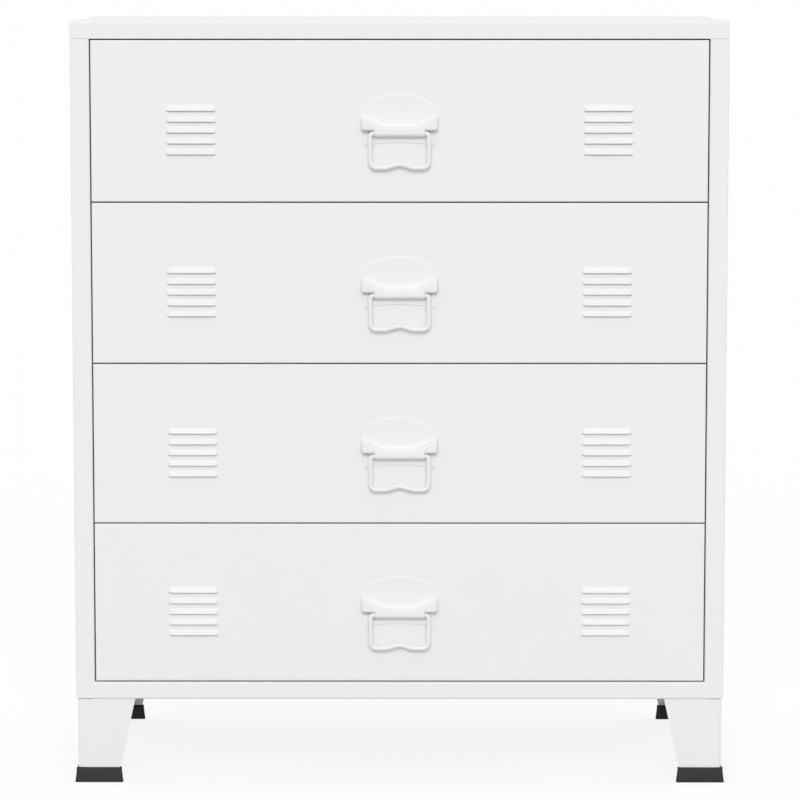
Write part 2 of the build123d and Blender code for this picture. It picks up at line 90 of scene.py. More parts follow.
# Fasteners, with the shares of a head's height or width and a shank's radius that their edges take
RING_SIDES = 36
HEAD_RIM = 0.22
HEAD_NECK = 0.33
HEAD_CHAMFER = 0.14
HEAD_FACE = 0.4
SHANK_TIP = 0.2
BOLT_FLATS = 13 * MM
BOLT_FLANGE = 7.5 * MM
BOLT_HEAD = 5.3 * MM
BOLT_RADIUS = 4 * MM
BOLT_TOP = 109.3 * MM
BOLT_SEAT = 100.5 * MM
NUT_SEAT = 102.8 * MM
BOLT_ALONG = 46 * MM
BOLT_ACROSS = 11 * MM
SCREW_FLATS = 7 * MM
SCREW_FLANGE = 4.6 * MM
SCREW_HEAD = 1.8 * MM
SCREW_RADIUS = 2 * MM
SCREW_GRIP = 6 * MM
SCREW_PLACE = 378.6 * MM
SCREW_END = 60 * MM
SCREW_ROWS = 3

# Drawer fronts
FRONT_DEPTH = 18 * MM
FRONT_BEND = 1.5 * MM
FRONT_SHEET = 1 * MM

# Trays, with heights counted from the front's lower edge and depths from its face
TRAY_SHEET = 0.8 * MM
TRAY_HALF = 353 * MM
TRAY_LOW = 12 * MM
TRAY_TOP = 150 * MM
TRAY_HEM = 8 * MM
TRAY_BEND = 2 * MM
TRAY_HEM_BEND = 1.2 * MM
TRAY_START = 1 * MM
TRAY_END = 350 * MM
TRAY_FLANGE = 12 * MM
WELD_FLANGE = 8 * MM

# Roller runners, counted the same way
RAIL_SHEET = 1 * MM
RAIL_BEND = 1.6 * MM
RAIL_WEB = 367.2 * MM
RAIL_TIP = 355.7 * MM
RAIL_START = 22 * MM
RAIL_END = 352 * MM
RAIL_LOW = 40 * MM
RAIL_HIGH = 62.6 * MM
STOP_PLACE = 55.4 * MM
STOP_DEPTH = 6 * MM
SLIDE_TIP = 365.2 * MM
SLIDE_START = 19 * MM
SLIDE_HIGH = 64.6 * MM
SLIDE_DROP = 19 * MM
ROLLER_MIDDLE = 360.45 * MM
ROLLER_HALF = 3.5 * MM
ROLLER_RADIUS = 10 * MM
ROLLER_BORE = 2.8 * MM
ROLLER_EDGE = 0.8 * MM
ROLLER_HUB = 4.8 * MM
ROLLER_TREAD = 8.1 * MM
ROLLER_HOLLOW = 0.9 * MM
ROLLER_SLOPE = 0.5 * MM
AXLE_RADIUS = 2.5 * MM
AXLE_HEAD_RADIUS = 4.5 * MM
AXLE_HEAD = 0.8 * MM
AXLE_TIP_RADIUS = 1.125 * MM
AXLE_DOME = (0.25, 0.6, 0.9)
RUN_CLEARANCE = 0.3 * MM
FRONT_AXLE = (33 * MM, 53.3 * MM)
REAR_AXLE = (340.7 * MM, 51.3 * MM)

# Louvres
LOUVRE_COUNT = 5
LOUVRE_PITCH = 12.9 * MM
LOUVRE_LOW = 55.65 * MM
LOUVRE_CENTRE = 247.3 * MM
LOUVRE_HALF = 30 * MM
LOUVRE_HEIGHT = 7 * MM
LOUVRE_OUT = 3.4 * MM
LOUVRE_GAP = 0.68 * MM
LOUVRE_END = 3.7 * MM
LOUVRE_EASE = 1.3
LOUVRE_END_STEPS = 6
LOUVRE_SHARES = (0, 0.08, 0.22, 0.38, 0.55, 0.72, 0.88, 1)

# Handle plate and hood, with heights counted from the bail's pivot
PLATE_SHEET = 1.2 * MM
PLATE_EDGE = 0.5 * MM
PLATE_TOP = 45.5 * MM
PLATE_HALF = 46 * MM
PLATE_SHOULDER = 29.4 * MM
PLATE_ROUND = 16 * MM
PLATE_FOOT_HALF = 43 * MM
PLATE_FOOT = -15.1 * MM
PLATE_FOOT_RISE = 3.6 * MM
PLATE_ARCH_STEPS = 16
PLATE_ROUND_STEPS = 10
PLATE_FOOT_STEPS = 12
HOOD_OUT = 9.3 * MM
HOOD_HALF = 45.3 * MM
HOOD_SIDE_ROUND = 2 * MM
HOOD_DRAFT = 0.15 * MM
HOOD_SINK = 0.05 * MM
HOOD_CREST_ROUND = 1.5 * MM
HOOD_TILT = math.radians(76)
HOOD_EASE = 1.5
MID_CREST = 5.9 * MM
WING_SLOPE = 0.48
WING_BAND = 4.4 * MM
MID_BAND = 5.6 * MM
MID_HALF = 15.5 * MM
MID_BEND = 8 * MM
WING_STEP = 2.25 * MM
WING_LOW = 3 * MM
WING_ROUND = 3 * MM
WING_TUCK = 2 * MM
WING_TUCK_FALL = 0.1 * MM
WING_CORNER = 3.5 * MM
CURL_HALF = 30.1 * MM
CURL_LEAD = 0.4 * MM
CURL_RADIUS = 4.25 * MM
CURL_TURN = math.radians(250)
CURL_STEPS = 25
HOOD_STEPS = 8
HOOD_CROWD = 1.5

# Bail
WIRE_RADIUS = 2.75 * MM
WIRE_SIDES = 20
BAIL_PIN = 18 * MM
BAIL_ARM = 34.75 * MM
BAIL_DROP = 40.9 * MM
BAIL_TOP_ROUND = 4.6 * MM
BAIL_CORNER = 7 * MM
WAVE_RISE = 4 * MM
WAVE_SLOPE = math.radians(19)
WAVE_ROUND = 20 * MM

# View and light, with each lamp's turn from the front and height angle in degrees, and its strength
CAMERA_PLACE = (0.012, FRONT - 4.467, 0.9885)
CAMERA_AIM = (0.0005, FRONT, 0.4649)
CAMERA_LENS = 169.5
FLOOR_HALF = 150
FLOOR_SHADE = 0.18
FLOOR_BOUNCE = 0.54
AMBIENT = 0.68
LAMPS = {
    "front": (0, 28, 1.33),
    "rear_left": (235, 10, 0.9),
    "rear_right": (125, 10, 0.9),
}
LAMP_SPREAD = math.radians(28)


# Shading nodes


def new_material(name):
    """A new node material with its Principled shader."""
    made = bpy.data.materials.new(name)
    made.use_nodes = True
    return made


def shader_of(made):
    """The material's Principled shader."""
    return made.node_tree.nodes["Principled BSDF"]


def add_node(tree, kind, values):
    """A node with its input values set."""
    node = tree.nodes.new(kind)
    for key, value in values.items():
        node.inputs[key].default_value = value
    return node


def noise(made, scale, detail=2, stretch=(1, 1, 1)):
    """Noise in the piece's own space, with scale in cycles to the metre."""
    tree = made.node_tree
    place = tree.nodes.new("ShaderNodeTexCoord")
    mapping = add_node(tree, "ShaderNodeMapping", {"Scale": stretch})
    texture = add_node(tree, "ShaderNodeTexNoise", {"Scale": scale, "Detail": detail})
    tree.links.new(place.outputs["Object"], mapping.inputs["Vector"])
    tree.links.new(mapping.outputs["Vector"], texture.inputs["Vector"])
    return texture.outputs["Fac"]


def flakes(made, scale):
    """Cells of random tone in the piece's own space, with scale in cells to the metre."""
    tree = made.node_tree
    place = tree.nodes.new("ShaderNodeTexCoord")
    cells = add_node(tree, "ShaderNodeTexVoronoi", {"Scale": scale})
    split = tree.nodes.new("ShaderNodeSeparateColor")
    tree.links.new(place.outputs["Object"], cells.inputs["Vector"])
    tree.links.new(cells.outputs["Color"], split.inputs["Color"])
    return split.outputs["Red"]


def tint(made, source, low, high):
    """Base colour that goes from one colour to another with a texture."""
    tree = made.node_tree
    mix = tree.nodes.new("ShaderNodeMix")
    mix.data_type = "RGBA"
    mix.inputs["A"].default_value = (*low, 1)
    mix.inputs["B"].default_value = (*high, 1)
    tree.links.new(source, mix.inputs["Factor"])
    tree.links.new(mix.outputs["Result"], shader_of(made).inputs["Base Color"])


def roughen(made, source, low, high):
    """Roughness that goes from one value to another with a texture."""
    tree = made.node_tree
    span = add_node(tree, "ShaderNodeMapRange", {"To Min": low, "To Max": high})
    tree.links.new(source, span.inputs["Value"])
    tree.links.new(span.outputs["Result"], shader_of(made).inputs["Roughness"])


def bump(made, source, strength, distance):
    """Small relief from a texture."""
    tree = made.node_tree
    relief = add_node(tree, "ShaderNodeBump", {"Strength": strength, "Distance": distance})
    tree.links.new(source, relief.inputs["Height"])
    tree.links.new(relief.outputs["Normal"], shader_of(made).inputs["Normal"])


# Finishes


def powder_coat():
    """White powder coat: faint mottle and the fine orange peel of baked powder."""
    made = new_material("body_paint")
    tint(made, noise(made, scale=14, detail=3), low=(0.848, 0.848, 0.850), high=(0.862, 0.862, 0.863))
    roughen(made, noise(made, scale=60, detail=4), low=0.40, high=0.50)
    bump(made, noise(made, scale=620, detail=2), strength=0.10, distance=0.15 * MM)
    return made


def cap_plastic():
    """Black moulded plastic with a fine spark-eroded grain."""
    made = new_material("cap_plastic")
    shader_of(made).inputs["Specular IOR Level"].default_value = 0.25
    tint(made, noise(made, scale=90, detail=4), low=(0.016, 0.016, 0.017), high=(0.028, 0.028, 0.029))
    roughen(made, noise(made, scale=400, detail=3), low=0.42, high=0.62)
    bump(made, noise(made, scale=1500, detail=3), strength=0.25, distance=0.1 * MM)
    return made


def runner_steel():
    """Bright zinc plate on rolled strip: spangle, and drawn lines along the runner."""
    made = new_material("runner_steel")
    shader_of(made).inputs["Metallic"].default_value = 1
    tint(made, flakes(made, scale=260), low=(0.58, 0.59, 0.62), high=(0.70, 0.71, 0.72))
    roughen(made, noise(made, scale=500, detail=3, stretch=(1, 0.03, 1)), low=0.26, high=0.46)
    bump(made, noise(made, scale=900, detail=2, stretch=(1, 0.02, 1)), strength=0.12, distance=0.05 * MM)
    return made


def roller_nylon():
    """Natural nylon: off-white, faintly mottled and waxy."""
    made = new_material("roller_nylon")
    tint(made, noise(made, scale=200, detail=3), low=(0.76, 0.75, 0.70), high=(0.84, 0.83, 0.79))
    roughen(made, noise(made, scale=700, detail=2), low=0.36, high=0.5)
    bump(made, noise(made, scale=1400, detail=2), strength=0.08, distance=0.05 * MM)
    shader_of(made).inputs["Subsurface Weight"].default_value = 0.15
    shader_of(made).inputs["Subsurface Radius"].default_value = (1.5 * MM, 1.2 * MM, 1.0 * MM)
    return made


def fastener_steel():
    """Zinc-plated steel of bolts and screws."""
    made = new_material("fastener_steel")
    shader_of(made).inputs["Metallic"].default_value = 1
    tint(made, noise(made, scale=700, detail=3), low=(0.52, 0.53, 0.56), high=(0.68, 0.68, 0.69))
    roughen(made, noise(made, scale=900, detail=3), low=0.28, high=0.48)
    bump(made, noise(made, scale=2500, detail=2), strength=0.12, distance=0.04 * MM)
    return made


FINISHES = {
    "body_paint": powder_coat(),
    "cap_plastic": cap_plastic(),
    "runner_steel": runner_steel(),
    "roller_nylon": roller_nylon(),
    "fastener_steel": fastener_steel(),
}


def paint_cad_nodes():
    """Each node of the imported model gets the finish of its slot."""
    for subpart in frame["record"]["subparts"]:
        node = frame["nodes"][subpart["node"]]
        node.data.materials.clear()
        node.data.materials.append(FINISHES[subpart["material_slot"]])


# Mesh helpers


def add_piece(name, body, finish, closed=False):
    """A smooth-shaded mesh piece whose sharp folds stay sharp."""
    mesh = bpy.data.meshes.new(name)
    mesh.from_pydata(body[0], [], body[1])
    if closed:
        shape = bmesh.new()
        shape.from_mesh(mesh)
        bmesh.ops.recalc_face_normals(shape, faces=shape.faces)
        shape.to_mesh(mesh)
        shape.free()
    mesh.polygons.foreach_set("use_smooth", [True] * len(mesh.polygons))
    mesh.set_sharp_from_angle(angle=SHARP_FOLD)
    mesh.materials.append(FINISHES[finish])
    piece = bpy.data.objects.new(name, mesh)
    bpy.context.scene.collection.objects.link(piece)
    return piece


def thicken(piece, sheet):
    """Gives a piece's skin the thickness of its sheet, behind its faces, and evens its shading."""
    solid = piece.modifiers.new("sheet", "SOLIDIFY")
    solid.thickness = sheet
    solid.offset = -1
    even = piece.modifiers.new("even_shading", "WEIGHTED_NORMAL")
    even.keep_sharp = True


def fix_to_cabinet(piece, node):
    """Puts a piece on the cabinet's body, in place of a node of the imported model."""
    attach(piece, "cabinet")
    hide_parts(node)


def for_each_drawer(piece, label, places, body, node=None):
    """One copy of a piece for each drawer, on a body and in place of a node named by the number."""
    for number in DRAWERS:
        copy = piece.copy()
        copy.name = f"{label}_{number}"
        copy.location = places[number]
        bpy.context.scene.collection.objects.link(copy)
        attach(copy, body.format(number))
        if node:
            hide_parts(node.format(number))
    bpy.data.objects.remove(piece)


def joined(bodies):
    """One body made of several."""
    points = []
    faces = []
    for spots, sides in bodies:
        start = len(points)
        points += spots
        faces += [tuple(start + corner for corner in face) for face in sides]
    return points, faces


def mirrored(body):
    """The mirror image of a body across the middle of the cabinet."""
    return [(-x, y, z) for x, y, z in body[0]], [tuple(reversed(face)) for face in body[1]]


def moved(body, matrix):
    """A body put in its place by a matrix."""
    return [tuple(matrix @ Vector(spot)) for spot in body[0]], body[1]


def skin(rings, ends=(True, True), looped=False):
    """A body drawn over closed rings with the same count of points, with its ends filled or looped."""
    count = len(rings[0])
    points = [spot for ring in rings for spot in ring]
    faces = []
    for k in range(len(rings) if looped else len(rings) - 1):
        low = k * count
        high = (k + 1) % len(rings) * count
        for i in range(count):
            after = (i + 1) % count
            faces.append((low + i, low + after, high + after, high + i))
    if ends[0]:
        faces.append(tuple(reversed(range(count))))
    if ends[1]:
        faces.append(tuple(range(len(points) - count, len(points))))
    return points, faces


def strip(line, way, low, high):
    """Skin of a folded sheet: a line across the fold, drawn out along X or Y. Its left is the inside."""
    points = []
    for u, v in line:
        points += [(low, u, v), (high, u, v)] if way == "x" else [(u, high, v), (u, low, v)]
    faces = [(2 * k, 2 * k + 2, 2 * k + 3, 2 * k + 1) for k in range(len(line) - 1)]
    return points, faces


def turned(profile, looped=False):
    """A body turned about the X axis from a profile of places along X and radii."""
    angles = [2 * math.pi * side / RING_SIDES for side in range(RING_SIDES)]
    rings = [[(x, r * math.cos(a), r * math.sin(a)) for a in angles] for x, r in profile]
    return skin(rings, (not looped, not looped), looped)


def rounded(corners, radii):
    """An open line in a plane with its inner corners rounded, as points."""
    line = [corners[0]]
    for before, corner, after, radius in zip(corners, corners[1:], corners[2:], radii):
        line += corner_arc(Vector(before), Vector(corner), Vector(after), radius)
    return line + [corners[-1]]


def corner_arc(before, corner, after, radius):
    """Points of the arc that rounds one corner of a line in a plane."""
    back = (before - corner).normalized()
    ahead = (after - corner).normalized()
    half = back.angle(ahead) / 2
    middle = corner + (back + ahead).normalized() * radius / math.sin(half)
    start = corner + back * radius / math.tan(half) - middle
    end = corner + ahead * radius / math.tan(half) - middle
    turn = start.angle_signed(end)
    spots = []
    for step in range(ARC_STEPS + 1):
        angle = turn * step / ARC_STEPS
        c, s = math.cos(angle), math.sin(angle)
        spots.append(middle + Vector((start.x * c + start.y * s, start.y * c - start.x * s)))
    return [tuple(spot) for spot in spots]


def rounded_loop(corners, radius):
    """A closed line in a plane with every corner rounded, as points."""
    line = []
    count = len(corners)
    for k in range(count):
        spots = [Vector(corners[(k + turn) % count]) for turn in (-1, 0, 1)]
        line += corner_arc(*spots, radius)
    return line


def quarter(radius, steps=ARC_STEPS):
    """Spots round an outside edge, as distances from its two faces: (radius, 0) first, (0, radius) last."""
    angles = [math.pi / 2 * step / steps for step in range(steps + 1)]
    return [(radius * (1 - math.sin(a)), radius * (1 - math.cos(a))) for a in angles]


def smooth_step(value):
    """0 below 0, 1 above 1, with an even bend between."""
    value = min(max(value, 0), 1)
    return value * value * (3 - 2 * value)


# Drawer fronts


def louvre_spot(x, rise):
    """How far a louvre stands out, and how far its skin is drawn up, at a spot counted from its slot."""
    end = smooth_step((LOUVRE_HALF - abs(x)) / LOUVRE_END)
    slope = max(1 - rise / LOUVRE_HEIGHT, 0)
    return LOUVRE_OUT * end * slope**LOUVRE_EASE, LOUVRE_GAP * end * slope


def edge_bend():
    """The rounded edge of a front: distances in from the edge, with depths behind the face."""
    return [(inset, depth) for depth, inset in quarter(FRONT_BEND, BEND_STEPS)]


def front_columns(half):
    """X places of the front's grid, with depths at its rounded edges."""
    inner = []
    steps = range(LOUVRE_END_STEPS + 1)
    for middle in (-LOUVRE_CENTRE, LOUVRE_CENTRE):
        ends = [LOUVRE_HALF - LOUVRE_END * step / LOUVRE_END_STEPS for step in steps]
        ends = [LOUVRE_HALF + GUARD] + ends + [ends[-1] - GUARD]
        inner += [middle - x for x in ends] + [middle + x for x in reversed(ends)]
    left = [(-half + inset, depth) for inset, depth in edge_bend()]
    left.append((left[-1][0] + GUARD, 0))
    right = [(-x, depth) for x, depth in reversed(left)]
    return left + [(x, 0) for x in inner] + right


def front_rows(height):
    """Z places of the front's grid, with depths at its rounded edges, and the rows that are slots."""
    low = edge_bend()
    low.append((low[-1][0] + GUARD, 0))
    rows = list(low)
    slots = []
    for count in range(LOUVRE_COUNT):
        slot = LOUVRE_LOW + count * LOUVRE_PITCH
        rows.append((slot - GUARD, 0))
        slots.append(len(rows))
        rows += [(slot + share * LOUVRE_HEIGHT, 0) for share in LOUVRE_SHARES]
        rows.append((slot + LOUVRE_HEIGHT + GUARD, 0))
    rows += [(height - z, depth) for z, depth in reversed(low)]
    return rows, slots


def pressed(x, z, slot_heights, above):
    """How far a spot of the front stands out and is drawn up, on the upper or lower side of its row."""
    for height in slot_heights:
        rise = z - height
        is_open = rise > 0 or (rise == 0 and above)
        if is_open and rise <= LOUVRE_HEIGHT:
            return louvre_spot(abs(x) - LOUVRE_CENTRE, rise)
    return 0, 0


def front_face(columns, rows, slots):
    """Points and faces of the front's face, cut open along its slots, and the points round its rim."""
    points = []
    index = {}
    slot_heights = [rows[slot][0] for slot in slots]

    def corner(i, j, above):
        x, depth_x = columns[i]
        z, depth_z = rows[j]
        out, drawn_up = pressed(x, z, slot_heights, above)
        key = (i, j, out > 0 and j in slots)
        if key not in index:
            index[key] = len(points)
            points.append((x, max(depth_x, depth_z) - out, z + drawn_up))
        return index[key]

    faces = []
    right = len(columns) - 1
    top = len(rows) - 1
    for i in range(right):
        for j in range(top):
            foot = [corner(i, j, True), corner(i + 1, j, True)]
            head = [corner(i + 1, j + 1, False), corner(i, j + 1, False)]
            faces.append(foot + head)
    rim = [corner(i, 0, True) for i in range(right)]
    rim += [corner(right, j, True) for j in range(top)]
    rim += [corner(right - i, top, True) for i in range(right)]
    rim += [corner(0, top - j, True) for j in range(top)]
    return points, faces, rim


def drawer_front():
    """Folded front whose louvres are lanced and pressed out of its sheet."""
    low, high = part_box("drawer_front_1")
    rows, slots = front_rows(high.z - low.z)
    points, faces, rim = front_face(front_columns((high.x - low.x) / 2), rows, slots)
    behind = len(points)
    points += [(points[spot][0], FRONT_DEPTH, points[spot][2]) for spot in rim]
    count = len(rim)
    for k in range(count):
        after = (k + 1) % count
        faces.append((rim[k], behind + k, behind + after, rim[after]))
    piece = add_piece("drawer_front", (points, faces), "body_paint")
    thicken(piece, FRONT_SHEET)
    return piece


# Handles


def plate_outline():
    """Outline of the handle plate: arched on top with round shoulders, and hollow below."""
    rise = PLATE_TOP - PLATE_SHOULDER
    arch_radius = (PLATE_HALF**2 + rise**2) / (2 * rise)
    arch_middle = Vector((0, PLATE_TOP - arch_radius))
    shoulder = Vector((PLATE_HALF, PLATE_SHOULDER))
    along = (Vector((PLATE_FOOT_HALF, PLATE_FOOT)) - shoulder).normalized()
    inward = Vector((along.y, -along.x))
    offset = shoulder + inward * PLATE_ROUND - arch_middle
    reach = arch_radius - PLATE_ROUND
    slide = -offset.dot(along) - math.sqrt(offset.dot(along) ** 2 - offset.length_squared + reach**2)
    middle = arch_middle + offset + along * slide
    leave = math.atan2(*(middle - arch_middle).yx)
    meet = math.atan2(*(-inward).yx)
    right = arc_points(arch_middle, arch_radius, math.pi / 2, leave, PLATE_ARCH_STEPS)
    right += arc_points(middle, PLATE_ROUND, leave, meet, PLATE_ROUND_STEPS)[1:]
    foot_radius = (PLATE_FOOT_HALF**2 + PLATE_FOOT_RISE**2) / (2 * PLATE_FOOT_RISE)
    foot_middle = Vector((0, PLATE_FOOT + PLATE_FOOT_RISE - foot_radius))
    spread = math.asin(PLATE_FOOT_HALF / foot_radius)
    right += arc_points(foot_middle, foot_radius, math.pi / 2 - spread, math.pi / 2, PLATE_FOOT_STEPS)
    left = [(-x, z) for x, z in reversed(right)]
    return right + left[1:-1]


def arc_points(middle, radius, start, end, steps):
    """Points along an arc in a plane."""
    angles = [start + (end - start) * step / steps for step in range(steps + 1)]
    return [(middle.x + radius * math.cos(a), middle.y + radius * math.sin(a)) for a in angles]


def inset_outline(outline, inset):
    """A closed clockwise outline moved inward."""
    line = []
    count = len(outline)
    for k in range(count):
        before = Vector(outline[k - 1])
        after = Vector(outline[(k + 1) % count])
        along = (after - before).normalized()
        line.append((outline[k][0] + along.y * inset, outline[k][1] - along.x * inset))
    return line


def handle_plate():
    """Flat pressed plate with a rounded front edge."""
    outline = plate_outline()
    rings = [(0, 0)]
    rings += [(inset, PLATE_SHEET - depth) for depth, inset in quarter(PLATE_EDGE, BEND_STEPS)]
    rings.append((PLATE_EDGE + GUARD, PLATE_SHEET))
    body = skin([[(x, -out, z) for x, z in inset_outline(outline, inset)] for inset, out in rings])
    return add_piece("handle_plate", body, "body_paint", closed=True)


def hood_columns():
    """X places across the hood, with the share of its height that stands out there."""
    flat = [0, MID_HALF / 2]
    count = round((HOOD_HALF - HOOD_SIDE_ROUND - MID_HALF) / WING_STEP)
    wing = [MID_HALF + WING_STEP * step for step in range(count)]
    right = [(x, 1) for x in flat + wing if abs(x - CURL_HALF) > GUARD] + [(CURL_HALF, 1)]
    bend = quarter(HOOD_SIDE_ROUND, BEND_STEPS)
    right += [(HOOD_HALF - inset, 1 - behind / HOOD_OUT) for inset, behind in bend]
    right.append((HOOD_HALF + HOOD_DRAFT, 0))
    right.sort(key=lambda column: (column[0], -column[1]))
    return [(-x, share) for x, share in reversed(right[1:])] + right


def hood_line(x):
    """The hood's outer line in one column, from the plate over the crest, as distance out and height."""
    crest = MID_CREST + wing_rise(x)
    band = MID_BAND + (WING_BAND - MID_BAND) * wing_rise(x) / wing_rise(HOOD_HALF)
    line = [(out - HOOD_SINK, crest + band * (1 - share)) for share, out in hood_slope()]
    low = (HOOD_OUT, face_end(x))
    crest_arc = corner_arc(Vector(line[-2]), Vector(line[-1]), Vector(low), HOOD_CREST_ROUND)
    return line[:-1] + crest_arc + [low]


def face_end(x):
    """Height at which the hood's front face ends, and a wing's edge or the rolled lip starts."""
    if abs(x) < CURL_HALF - GUARD:
        return WING_LOW + CURL_LEAD
    return WING_LOW + WING_ROUND + wing_lift(x)


def wing_rise(x):
    """How far the crest rises above its flat middle, on a straight slope to the tip of a wing."""
    over = max(abs(x) - MID_HALF, 0)
    bend = min(over, MID_BEND)
    return WING_SLOPE * (over - bend + bend**2 / (2 * MID_BEND))


def hood_slope():
    """Shares of the way down the hood's upper slope, closer near the crest, with distances out."""
    shares = [1 - (1 - step / HOOD_STEPS) ** HOOD_CROWD for step in range(HOOD_STEPS + 1)]
    middles = [(low + high) / 2 for low, high in zip(shares, shares[1:])]
    rises = [math.tan(HOOD_TILT * middle**HOOD_EASE) for middle in middles]
    steps = [rise * (high - low) for rise, low, high in zip(rises, shares, shares[1:])]
    return [(share, HOOD_OUT * sum(steps[:k]) / sum(steps)) for k, share in enumerate(shares)]


def wing_lift(x):
    """How far the lower edge rises in the rounded outer corner of a wing."""
    over = min(max(abs(x) - HOOD_HALF + WING_CORNER, 0), WING_CORNER)
    return WING_CORNER - math.sqrt(WING_CORNER**2 - over**2)


def wing_tail():
    """The wings' lower edge, turned in towards the plate."""
    middle = Vector((HOOD_OUT - WING_ROUND, WING_LOW + WING_ROUND))
    tail = arc_points(middle, WING_ROUND, 0, -math.pi / 2, ARC_STEPS)[1:]
    return tail + [(tail[-1][0] - WING_TUCK, WING_LOW - WING_TUCK_FALL)]


def curl_tail():
    """The lip between the wings, rolled in round the bail's pins."""
    middle = Vector((HOOD_OUT - CURL_RADIUS, 0))
    return [(HOOD_OUT, WING_LOW)] + arc_points(middle, CURL_RADIUS, 0, -CURL_TURN, CURL_STEPS)


def handle_hood():
    """Pressed hood with a dipped crest, two wings and the rolled lip that holds the bail."""
    columns = hood_columns()
    tails = {"wing": wing_tail(), "curl": curl_tail()}
    points = []
    index = {}

    def spot(i, row, tail):
        x, share = columns[i]
        line = hood_line(x)
        key = (i, row, tail if row >= len(line) else "")
        if key not in index:
            index[key] = len(points)
            lift = wing_lift(x) if row >= len(line) else 0
            out, z = line[row] if row < len(line) else tails[tail][row - len(line)]
            points.append((x, HOOD_SINK - PLATE_SHEET - (out + HOOD_SINK) * share, z + lift))
        return index[key]

    faces = []
    for i in range(len(columns) - 1):
        middle = (columns[i][0] + columns[i + 1][0]) / 2
        tail = "curl" if abs(middle) < CURL_HALF else "wing"
        for row in range(len(hood_line(0)) + len(tails[tail]) - 1):
            left = [spot(i, row, tail), spot(i, row + 1, tail)]
            faces.append(left + [spot(i + 1, row + 1, tail), spot(i + 1, row, tail)])
    piece = add_piece("handle_hood", (points, faces), "body_paint")
    thicken(piece, PLATE_SHEET)
    return piece


def bail_path():
    """The bail wire's middle line: pins turned inward on top, and a wave in the grip."""
    knee = (WAVE_RISE + WAVE_ROUND / math.cos(WAVE_SLOPE) - WAVE_ROUND) / math.tan(WAVE_SLOPE)
    crown = knee * math.tan(WAVE_SLOPE) - BAIL_DROP
    left = [(-BAIL_PIN, 0), (-BAIL_ARM, 0), (-BAIL_ARM, -BAIL_DROP), (-knee, -BAIL_DROP)]
    corners = left + [(0, crown)] + [(-x, z) for x, z in reversed(left)]
    radii = [BAIL_TOP_ROUND, BAIL_CORNER, WAVE_ROUND]
    return rounded(corners, radii + [WAVE_ROUND] + radii[::-1])


def handle_bail():
    """Round wire bent into a bail."""
    path = [Vector((x, 0, z)) for x, z in bail_path()]
    rings = []
    last = len(path) - 1
    for k, spot in enumerate(path):
        along = (path[min(k + 1, last)] - path[max(k - 1, 0)]).normalized()
        aside = Vector((along.z, 0, -along.x)) * WIRE_RADIUS
        out = Vector((0, WIRE_RADIUS, 0))
        angles = [2 * math.pi * side / WIRE_SIDES for side in range(WIRE_SIDES)]
        rings.append([tuple(spot + aside * math.cos(a) + out * math.sin(a)) for a in angles])
    return add_piece("handle_bail", skin(rings), "body_paint", closed=True)


# Trays and runners


def drawer_tray():
    """Folded tray with hemmed edges, and the flanges that hold it behind the front."""
    half = TRAY_HALF
    corners = [(TRAY_HEM - half, TRAY_TOP), (-half, TRAY_TOP), (-half, TRAY_LOW)]
    corners += [(-x, z) for x, z in reversed(corners)]
    bends = (TRAY_HEM_BEND, TRAY_BEND, TRAY_BEND, TRAY_HEM_BEND)
    trough = strip(rounded(corners, bends), "y", TRAY_START, TRAY_END)
    inner = half - TRAY_SHEET
    wall = [(TRAY_END - TRAY_HEM, TRAY_TOP), (TRAY_END, TRAY_TOP), (TRAY_END, TRAY_LOW)]
    rear = strip(list(reversed(rounded(wall, (TRAY_HEM_BEND,)))), "x", -inner, inner)
    tab = [(TRAY_START, TRAY_TOP - TRAY_BEND), (TRAY_START, TRAY_LOW + TRAY_BEND)]
    spans = ((-inner, TRAY_FLANGE - half), (half - TRAY_FLANGE, inner))
    tabs = [strip(tab, "x", *span) for span in spans]
    sill = strip([(TRAY_START, TRAY_LOW), (TRAY_START, TRAY_LOW - WELD_FLANGE)], "x", -inner, inner)
    piece = add_piece("drawer_tray", joined([trough, rear, *tabs, sill]), "body_paint")
    thicken(piece, TRAY_SHEET)
    return piece


def on_side(body, side):
    """A body as drawn for the right, or its mirror image on the left."""
    return body if side == "right" else mirrored(body)


def channel_rail(side):
    """Fixed rail: a channel that is open in front of its turned-down stop and closed behind."""
    foot = [(RAIL_TIP, RAIL_LOW), (RAIL_WEB, RAIL_LOW)]
    angle = rounded(foot + [(RAIL_WEB, RAIL_HIGH - RAIL_SHEET)], (RAIL_BEND,))
    channel = rounded(foot + [(RAIL_WEB, RAIL_HIGH), (RAIL_TIP, RAIL_HIGH)], (RAIL_BEND, RAIL_BEND))
    open_run = strip(angle, "y", RAIL_START, STOP_PLACE)
    closed_run = strip(channel, "y", STOP_PLACE, RAIL_END)
    web_face = RAIL_WEB - RAIL_SHEET
    stop = [(STOP_PLACE - RAIL_SHEET, RAIL_HIGH - STOP_DEPTH), (STOP_PLACE - RAIL_SHEET, RAIL_HIGH)]
    stop.append((STOP_PLACE + RAIL_BEND, RAIL_HIGH))
    out_stop = strip(list(reversed(rounded(stop, (RAIL_SHEET,)))), "x", RAIL_TIP, web_face)
    end_stop = strip([(RAIL_END, RAIL_LOW), (RAIL_END, RAIL_HIGH)], "x", RAIL_TIP, web_face)
    body = joined([open_run, closed_run, out_stop, end_stop])
    piece = add_piece("channel_rail", on_side(body, side), "runner_steel")
    thicken(piece, RAIL_SHEET)
    return piece


def slide_rail(side):
    """Moving rail: an angle on the tray's side whose flange runs on the front roller."""
    corners = [(SLIDE_TIP, SLIDE_HIGH), (TRAY_HALF, SLIDE_HIGH), (TRAY_HALF, SLIDE_HIGH - SLIDE_DROP)]
    body = strip(rounded(corners, (RAIL_BEND,)), "y", SLIDE_START, TRAY_END)
    piece = add_piece("slide_rail", on_side(body, side), "runner_steel")
    thicken(piece, RAIL_SHEET)
    return piece


